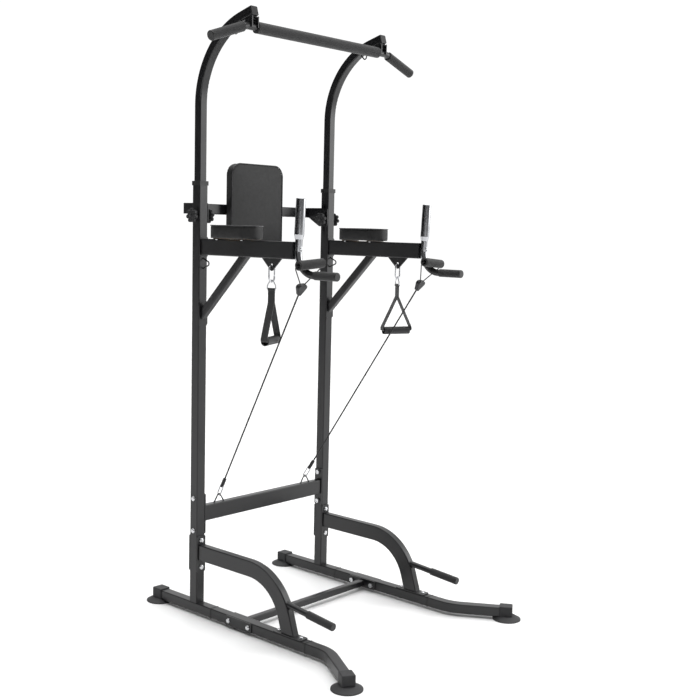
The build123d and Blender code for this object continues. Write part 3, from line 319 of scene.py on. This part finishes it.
# ---- Bolts and screws ---------------------------------------------------------------------------------
# Dome-headed carriage bolts, nuts and pan screws in bright zinc plate, slightly mottled.
zinc_plate, tree, shader, place = new_material("bright zinc plate", "#cfd0d2", 0.24, 1.0)
mottle = add_node(tree, "ShaderNodeTexNoise", {"Scale": 350.0, "Detail": 4.0}, {"Vector": place})
gloss = add_node(
    tree, "ShaderNodeMapRange", {"To Min": 0.16, "To Max": 0.36}, {"Value": mottle.outputs["Fac"]}
)
tree.links.new(gloss.outputs[0], shader.inputs["Roughness"])
dress(zinc_plate, "frame_bolts", "pull_up_bolts", "backrest_screws")

# ---- Dip handles --------------------------------------------------------------------------------------
# Bent steel tube, chrome plated and polished, with a chrome sleeve on its upright. The bend below the arm
# is dipped in black vinyl up to a straight line, which gives a softer, darker gloss under the cord grips.
polished_chrome, tree, shader, place = new_material("polished chrome plate", "#b9babd", 0.1, 1.0)
haze = add_node(tree, "ShaderNodeTexNoise", {"Scale": 30.0, "Detail": 6.0}, {"Vector": place})
gloss = add_node(
    tree, "ShaderNodeMapRange", {"To Min": 0.08, "To Max": 0.14}, {"Value": haze.outputs["Fac"]}
)
tree.links.new(gloss.outputs[0], shader.inputs["Roughness"])
dress(polished_chrome, "dip_upright_sleeves")

dip_line = 1.362
dipped_chrome, tree, shader, place = new_material("chrome tube, bend dipped in black vinyl", "#b9babd", 0.1, 1.0)
level = add_node(tree, "ShaderNodeSeparateXYZ", links={0: place}).outputs["Z"]
bare = add_node(tree, "ShaderNodeMath", {1: dip_line}, {0: level}, operation="GREATER_THAN").outputs[0]
tint = add_node(
    tree, "ShaderNodeMix", {6: linear("#1b1b1c"), 7: linear("#b9babd")}, {0: bare}, data_type="RGBA"
)
tree.links.new(tint.outputs[2], shader.inputs["Base Color"])
tree.links.new(bare, shader.inputs["Metallic"])
haze = add_node(tree, "ShaderNodeTexNoise", {"Scale": 30.0, "Detail": 6.0}, {"Vector": place})
plated = add_node(
    tree, "ShaderNodeMapRange", {"To Min": 0.08, "To Max": 0.14}, {"Value": haze.outputs["Fac"]}
)
coated = add_node(
    tree, "ShaderNodeMapRange", {"To Min": 0.35, "To Max": 0.5}, {"Value": haze.outputs["Fac"]}
)
gloss = add_node(tree, "ShaderNodeMix", links={0: bare, 2: coated.outputs[0], 3: plated.outputs[0]})
tree.links.new(gloss.outputs[0], shader.inputs["Roughness"])
dress(dipped_chrome, "dip_handles")

# ---- Boards -------------------------------------------------------------------------------------------
# Raw poplar plywood under the pads, cut with its face grain lengthwise.
plywood, tree, shader, place = new_material("raw poplar plywood", "#a98a5f", 0.7)
grained = add_node(tree, "ShaderNodeMapping", {"Scale": (40.0, 4.0, 40.0)}, {"Vector": place})
figure = add_node(
    tree, "ShaderNodeTexNoise", {"Scale": 6.0, "Detail": 8.0, "Distortion": 0.6}, {"Vector": grained.outputs[0]}
)
tint = add_node(
    tree,
    "ShaderNodeMix",
    {6: linear("#8d6f47"), 7: linear("#c3a677")},
    {0: figure.outputs["Fac"]},
    data_type="RGBA",
)
tree.links.new(tint.outputs[2], shader.inputs["Base Color"])
dress(plywood, "elbow_pad_boards", "back_pad_board")

# ---- Elbow pads ---------------------------------------------------------------------------------------
# Polyurethane foam under coated vinyl, stapled beneath a board. A thin piping is sewn into the seam
# between the crowned top and the side band.
upholstery_vinyl, tree, shader, place = new_material("grained upholstery vinyl", "#121213", 0.6)
pebbles = add_node(tree, "ShaderNodeTexVoronoi", {"Scale": 620.0}, {"Vector": place}, feature="SMOOTH_F1")
wrinkle = add_node(tree, "ShaderNodeTexNoise", {"Scale": 90.0, "Detail": 4.0}, {"Vector": place})
height = add_node(
    tree,
    "ShaderNodeMath",
    {2: 0.5},
    {0: wrinkle.outputs["Fac"], 1: pebbles.outputs["Distance"]},
    operation="MULTIPLY_ADD",
)
tree.links.new(pebbles.outputs["Distance"], height.inputs[2])
raised = add_node(
    tree, "ShaderNodeBump", {"Strength": 0.25, "Distance": 0.0004}, {"Height": height.outputs[0]}
)
tree.links.new(raised.outputs[0], shader.inputs["Normal"])
gloss = add_node(
    tree, "ShaderNodeMapRange", {"To Min": 0.5, "To Max": 0.68}, {"Value": wrinkle.outputs["Fac"]}
)
tree.links.new(gloss.outputs[0], shader.inputs["Roughness"])

# Piping: a smoother black vinyl round a thin cord, bright where it turns to the light; its base grey is lighter
# than the cover's black, a painted highlight along the seam on top of the real gloss.
piping_vinyl_painted_highlight, tree, shader, place = new_material("smooth black piping vinyl, lightened as painted highlight", "#2c2c2e", 0.25)
crease = add_node(tree, "ShaderNodeTexNoise", {"Scale": 300.0, "Detail": 3.0}, {"Vector": place})
raised = add_node(
    tree, "ShaderNodeBump", {"Strength": 0.3, "Distance": 0.0003}, {"Height": crease.outputs["Fac"]}
)
tree.links.new(raised.outputs[0], shader.inputs["Normal"])


def pad_block(name, size, corner, rim, place):
    """A closed block with rounded corners in plan, thickness along local Z, before it is filled."""
    shape = bmesh.new()
    bmesh.ops.create_cube(shape, size=1.0, matrix=Matrix.Diagonal((*size, 1.0)))
    uprights = [e for e in shape.edges if abs((e.verts[0].co - e.verts[1].co).z) > size[2] / 2]
    bmesh.ops.bevel(
        shape, geom=uprights, offset=corner, segments=10, profile=0.5, affect="EDGES", material=-1
    )
    top = [e for e in shape.edges if all(v.co.z > size[2] / 2 - 1e-6 for v in e.verts)]
    bmesh.ops.bevel(shape, geom=top, offset=rim, segments=2, profile=0.5, affect="EDGES", material=-1)
    shape.transform(place)
    mesh = bpy.data.meshes.new(name)
    shape.to_mesh(mesh)
    shape.free()
    piece = bpy.data.objects.new(name, mesh)
    bpy.context.collection.objects.link(piece)
    return piece


def rim_offset(point, size, corner):
    """How far a point in plan lies outside (positive) or inside the rounded outline."""
    across = Vector((abs(point.x) - size[0] / 2 + corner, abs(point.y) - size[1] / 2 + corner))
    outside = Vector((max(across.x, 0.0), max(across.y, 0.0))).length
    return outside + min(max(across.x, across.y), 0.0) - corner


def fill_pad(piece, size, corner, place, swell):
    """Remeshes the block evenly and blows its cover up against the seam and the board that hold it."""
    remesh = piece.modifiers.new("even faces", "REMESH")
    remesh.mode = "VOXEL"
    remesh.voxel_size = 0.005
    piece.data = mesh_of(piece)
    piece.modifiers.clear()
    back = place.inverted()
    before = [v.co.copy() for v in piece.data.vertices]
    held = []
    for vertex in piece.data.vertices:
        local = back @ vertex.co
        sewn = abs(rim_offset(local, size, corner)) < 0.004 and local.z > size[2] / 2 - 0.005
        if sewn or local.z < -size[2] / 2 + 0.007:
            held.append(vertex.index)
    piece.vertex_groups.new(name="held").add(held, 1.0, "REPLACE")
    cloth = piece.modifiers.new("filling", "CLOTH")
    cloth.settings.quality = 6
    cloth.settings.mass = 0.3
    cloth.settings.tension_stiffness = 12.0
    cloth.settings.compression_stiffness = 12.0
    cloth.settings.shear_stiffness = 5.0
    cloth.settings.bending_stiffness = 0.6
    cloth.settings.use_pressure = True
    cloth.settings.uniform_pressure_force = 4.0
    cloth.settings.vertex_group_mass = "held"
    cloth.settings.effector_weights.gravity = 0.0
    cloth.collision_settings.use_collision = False
    cloth.point_cache.frame_start = 1
    cloth.point_cache.frame_end = 20
    for moment in range(1, 21):
        bpy.context.scene.frame_set(moment)
    after = mesh_of(piece)
    piece.modifiers.clear()
    for vertex, start, moved in zip(piece.data.vertices, before, after.vertices):
        step = moved.co - start
        vertex.co = start + step * min(1.0, swell / max(step.length, 1e-9))
    bpy.context.scene.frame_set(1)
    finish = piece.modifiers.new("smooth cover", "SUBSURF")
    finish.levels = 1
    finish.render_levels = 1
    piece.data.materials.clear()
    piece.data.materials.append(upholstery_vinyl)
    smooth(piece.data, 80)


def piping(name, size, corner, lift, place):
    """A closed round cord along the seam of a pad."""
    flat = bmesh.new()
    bmesh.ops.create_grid(flat, x_segments=1, y_segments=1, size=0.5, matrix=Matrix.Diagonal((size[0], size[1], 1.0, 1.0)))
    bmesh.ops.bevel(
        flat, geom=flat.verts[:], offset=corner, segments=12, profile=0.5, affect="VERTICES", material=-1
    )
    flat.faces.ensure_lookup_table()
    spots = [place @ Vector((v.co.x, v.co.y, lift)) for v in flat.faces[0].verts]
    flat.free()
    curve = bpy.data.curves.new(name, "CURVE")
    curve.dimensions = "3D"
    spline = curve.splines.new("POLY")
    spline.points.add(len(spots) - 1)
    for point, spot in zip(spline.points, spots):
        point.co = (*spot, 1.0)
    spline.use_cyclic_u = True
    curve.bevel_depth = 0.0021
    curve.bevel_resolution = 3
    sketch = bpy.data.objects.new(name, curve)
    bpy.context.collection.objects.link(sketch)
    mesh = mesh_of(sketch)
    bpy.data.objects.remove(sketch)
    piece = bpy.data.objects.new(name, mesh)
    bpy.context.collection.objects.link(piece)
    mesh.materials.clear()
    mesh.materials.append(piping_vinyl_painted_highlight)
    smooth(mesh, 60)
    return piece


elbow_size = (0.097, 0.225, 0.047)
elbow_corner = 0.046
for side, k in (("left", -1), ("right", 1)):
    place = Matrix.Translation((k * 0.345, upright_y - 0.199, 1.4342 + elbow_size[2] / 2))
    pad = pad_block(f"elbow_cushion_{side}", elbow_size, elbow_corner, 0.003, place)
    fill_pad(pad, elbow_size, elbow_corner, place, 0.0065)
    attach(pad, "frame")
    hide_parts(f"elbow_pad_{side}")
    edge = piping(f"elbow_piping_{side}", elbow_size, elbow_corner, elbow_size[2] / 2 - 0.001, place)
    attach(edge, "frame")

# ---- Back pad -----------------------------------------------------------------------------------------
# The same foam and vinyl on an upright board, crowned towards the user's back, with piping round the face.
back_size = (0.272, 0.341, 0.036)
back_corner = 0.043
lying = Matrix.Translation((0.0, upright_y + 0.0933 - back_size[2] / 2, 1.5505)) @ Matrix.Rotation(math.radians(90), 4, "X")
pad = pad_block("back_cushion", back_size, back_corner, 0.003, lying)
fill_pad(pad, back_size, back_corner, lying, 0.009)
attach(pad, "backrest")
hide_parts("back_pad")
edge = piping("back_piping", back_size, back_corner, back_size[2] / 2 - 0.001, lying)
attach(edge, "backrest")

# ---- Clamp knobs --------------------------------------------------------------------------------------
# Seven-lobed glass-filled nylon knobs moulded round a plated steel screw, whose end shows as a bright disc.
for name in ("height_knob", "backrest_knob"):
    for side in ("left", "right"):
        knob_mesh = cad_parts[f"{name}_{side}"].data.copy()
        shape = bmesh.new()
        shape.from_mesh(knob_mesh)
        bmesh.ops.remove_doubles(shape, verts=shape.verts[:], dist=1e-6)
        for face in shape.faces:
            spot = face.calc_center_median()
            face.material_index = 1 if math.hypot(spot.y - upright_y, spot.z - 1.515) < 0.0071 else 0
        shape.to_mesh(knob_mesh)
        shape.free()
        knob = bpy.data.objects.new(f"{name}_star_{side}", knob_mesh)
        bpy.context.collection.objects.link(knob)
        knob_mesh.materials.clear()
        knob_mesh.materials.append(moulded_nylon)
        knob_mesh.materials.append(zinc_plate)
        smooth(knob_mesh, 35)
        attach(knob, f"{name}_{side}")
        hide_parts(f"{name}_{side}")

# ---- Stirrup handles ----------------------------------------------------------------------------------
# Polypropylene webbing 25 mm wide, folded round a wire ring, sewn, and led through a moulded tube grip.
# The weave shows as ribs across the strap, a little over a millimetre apart; its colour is painted darker
# between the yarns as painted shade and lighter on the crowns.
webbing, tree, shader, place = new_material("black polypropylene webbing", "#232324", 0.62)
ribs = add_node(
    tree, "ShaderNodeTexWave", {"Scale": 200.0, "Distortion": 0.4}, {"Vector": place}, bands_direction="Z"
)
yarns = add_node(
    tree, "ShaderNodeTexWave", {"Scale": 260.0, "Distortion": 0.4}, {"Vector": place}, bands_direction="Y"
)
weave_relief_and_painted_groove_shade = add_node(
    tree, "ShaderNodeMath", links={0: ribs.outputs["Fac"], 1: yarns.outputs["Fac"]}, operation="MULTIPLY"
)
raised = add_node(
    tree, "ShaderNodeBump", {"Strength": 0.6, "Distance": 0.0004}, {"Height": weave_relief_and_painted_groove_shade.outputs[0]}
)
tree.links.new(raised.outputs[0], shader.inputs["Normal"])
# Painted shade: the colour follows the weave height, darker in the grooves between yarns and lighter on the
# raised crowns.
tint = add_node(
    tree,
    "ShaderNodeMix",
    {6: linear("#1a1a1b"), 7: linear("#343436")},
    {0: weave_relief_and_painted_groove_shade.outputs[0]},
    data_type="RGBA",
)
tree.links.new(tint.outputs[2], shader.inputs["Base Color"])
shader.inputs["Sheen Weight"].default_value = 0.2
dress(webbing, "stirrup_strap_left", "stirrup_strap_right")
dress(moulded_nylon, "stirrup_grip_left", "stirrup_grip_right")

# ---- Studio -------------------------------------------------------------------------------------------
# A pale seamless floor, white surroundings that darken behind the viewer and rear left, a soft ceiling
# and one tall panel at the front right, which draws the bright stripe on every upright.
floor_paper, tree, shader, place = new_material("white seamless paper", "#f4f4f4", 0.8)
fibre = add_node(tree, "ShaderNodeTexNoise", {"Scale": 120.0, "Detail": 3.0}, {"Vector": place})
raised = add_node(
    tree, "ShaderNodeBump", {"Strength": 0.05, "Distance": 0.0002}, {"Height": fibre.outputs["Fac"]}
)
tree.links.new(raised.outputs[0], shader.inputs["Normal"])
sheet = bmesh.new()
bmesh.ops.create_grid(sheet, x_segments=1, y_segments=1, size=15.0)
floor_mesh = bpy.data.meshes.new("floor")
sheet.to_mesh(floor_mesh)
sheet.free()
floor_mesh.materials.append(floor_paper)
floor = bpy.data.objects.new("floor", floor_mesh)
bpy.context.collection.objects.link(floor)

world = bpy.data.worlds.new("studio")
bpy.context.scene.world = world
world.use_nodes = True
tree = world.node_tree
sky = tree.nodes["Background"]
direction = add_node(tree, "ShaderNodeTexCoord").outputs["Generated"]
toward = add_node(
    tree, "ShaderNodeVectorMath", {1: (0.75, -0.66, 0.0)}, {0: direction}, operation="DOT_PRODUCT"
)
level = add_node(
    tree,
    "ShaderNodeMapRange",
    {"From Min": -0.98, "From Max": -0.33, "To Min": 0.04, "To Max": 1.05},
    {"Value": toward.outputs["Value"]},
    interpolation_type="SMOOTHSTEP",
)
facing = add_node(
    tree, "ShaderNodeVectorMath", {1: (0.747, 0.664, 0.0)}, {0: direction}, operation="DOT_PRODUCT"
)
beyond = add_node(
    tree,
    "ShaderNodeMapRange",
    {"From Min": -0.6, "From Max": 0.3, "To Min": 0.15, "To Max": 1.0},
    {"Value": facing.outputs["Value"]},
    interpolation_type="SMOOTHSTEP",
)
strength = add_node(
    tree, "ShaderNodeMath", links={0: level.outputs[0], 1: beyond.outputs[0]}, operation="MULTIPLY"
)
tree.links.new(strength.outputs[0], sky.inputs["Strength"])
sky.inputs["Color"].default_value = (1.0, 1.0, 1.0, 1.0)


def add_light(kind, name, spot, power):
    """A light at that spot, facing the middle of the tower."""
    lamp = bpy.data.lights.new(name, kind)
    lamp.energy = power
    light = bpy.data.objects.new(name, lamp)
    bpy.context.collection.objects.link(light)
    aim = (Vector((0.0, upright_y, 1.2)) - Vector(spot)).to_track_quat("-Z", "Y")
    light.matrix_world = Matrix.Translation(spot) @ aim.to_matrix().to_4x4()
    return lamp


ceiling = add_light("SUN", "ceiling light", (0.0, upright_y, 5.0), 2.3)
ceiling.angle = math.radians(70)
panel = add_light("AREA", "front panel", (3.7, upright_y - 3.3, 2.7), 85.0)
panel.size = 3.0
